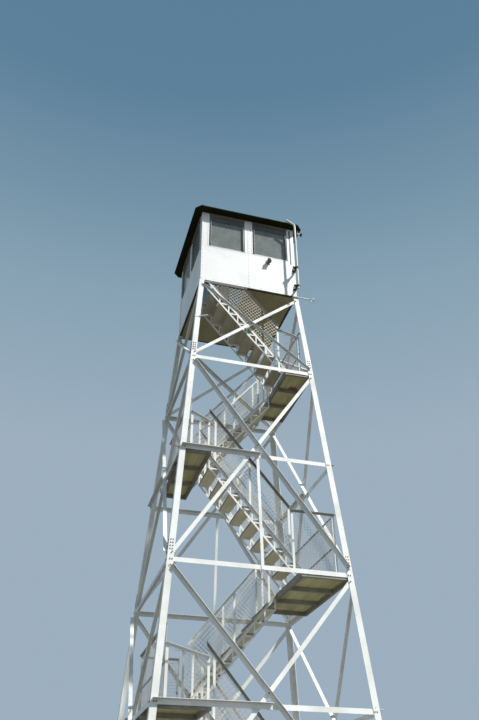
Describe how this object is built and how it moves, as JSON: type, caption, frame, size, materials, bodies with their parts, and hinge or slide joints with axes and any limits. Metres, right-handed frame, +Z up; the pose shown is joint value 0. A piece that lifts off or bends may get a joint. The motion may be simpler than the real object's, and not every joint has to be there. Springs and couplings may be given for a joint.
{
  "type": "fire lookout tower",
  "caption": "Square steel-angle fire lookout tower with zigzag open-web stairs, landings and a small glazed cab.",
  "frame": {"origin": "on the ground at the centre of the four feet", "axes": "+Z up; -Y the front, the sunlit side in the picture; +X to the right seen from the front"},
  "size_m": [3.836, 3.836, 12.792],
  "materials": {
    "white_steel": "weathered paint with rust",
    "tread_wood": "weathered",
    "deck_wood": "weathered",
    "white_board": "weathered paint",
    "glass": "clear",
    "roof_metal": "dull olive paint",
    "wire_mesh": "weathered paint",
    "underside_metal": "dull olive paint",
    "frame_steel": "dull weathered paint",
    "galvanized": "dull"
  },
  "bodies": {
    "root": {"leg_front_left": "white_steel", "leg_front_right": "white_steel", "leg_rear_right": "white_steel", "leg_rear_left": "white_steel", "leg_plates": "white_steel", "front_struts": "white_steel", "right_struts": "white_steel", "rear_struts": "white_steel", "left_struts": "white_steel", "front_bracing": "white_steel", "right_bracing": "white_steel", "rear_bracing": "white_steel", "left_bracing": "white_steel", "crossing_spacers": "white_steel", "strut_hangers": "white_steel", "stair_1_frame": "white_steel", "stair_1_treads": "tread_wood", "stair_2_frame": "white_steel", "stair_2_treads": "tread_wood", "stair_3_frame": "white_steel", "stair_3_treads": "tread_wood", "stair_4_frame": "white_steel", "stair_4_treads": "tread_wood", "stair_5_frame": "white_steel", "stair_5_treads": "tread_wood", "stair_guards": "white_steel", "stair_mesh": "wire_mesh", "landing_frames": "frame_steel", "landing_decks": "deck_wood", "landing_guards": "white_steel", "landing_mesh": "wire_mesh", "cab_floor_beams": "white_steel", "cab_floor_joists": "white_steel", "cab_floor_boards": "deck_wood", "cab_underside": "underside_metal", "cab_wall_front": "white_board", "cab_wall_right": "white_board", "cab_wall_rear": "white_board", "cab_wall_left": "white_board", "window_sashes": "white_board", "window_panes": "glass", "roof_soffit": "roof_metal", "roof_fascia": "roof_metal", "roof_cover": "roof_metal", "corner_mast": "galvanized", "mast_clamps": "galvanized", "wall_lamp": "galvanized", "floor_arm": "white_steel", "roof_horn": "galvanized"}
  },
  "joints": []
}
